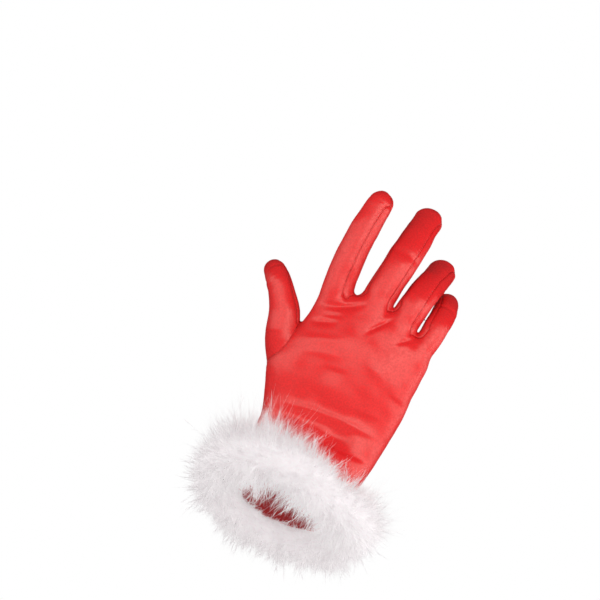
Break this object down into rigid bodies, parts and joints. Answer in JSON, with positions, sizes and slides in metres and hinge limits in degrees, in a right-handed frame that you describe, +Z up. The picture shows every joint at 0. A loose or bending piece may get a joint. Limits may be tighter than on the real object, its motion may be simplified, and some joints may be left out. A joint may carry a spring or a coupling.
{
  "type": "satin glove",
  "caption": "Right-hand stretch satin dress glove in its worn shape, hollow, with a back and a palm, a set-in thumb, strips between the fingers and a deep fluffy down trim round the wrist.",
  "frame": {"origin": "middle of the cuff's mouth, where the wrist goes in", "axes": "+Z up the hand to the fingertips, -Y out of the back of the hand, -X towards the thumb"},
  "size_m": [0.1334, 0.1147, 0.2454],
  "materials": {
    "satin": "satin",
    "down": "fluffy"
  },
  "bodies": {
    "root": {"back_shell": "satin", "palm_shell": "satin", "thumb_shell": "satin", "fourchette_index_middle": "satin", "fourchette_middle_ring": "satin", "fourchette_ring_little": "satin", "down_trim": "down"}
  },
  "joints": []
}
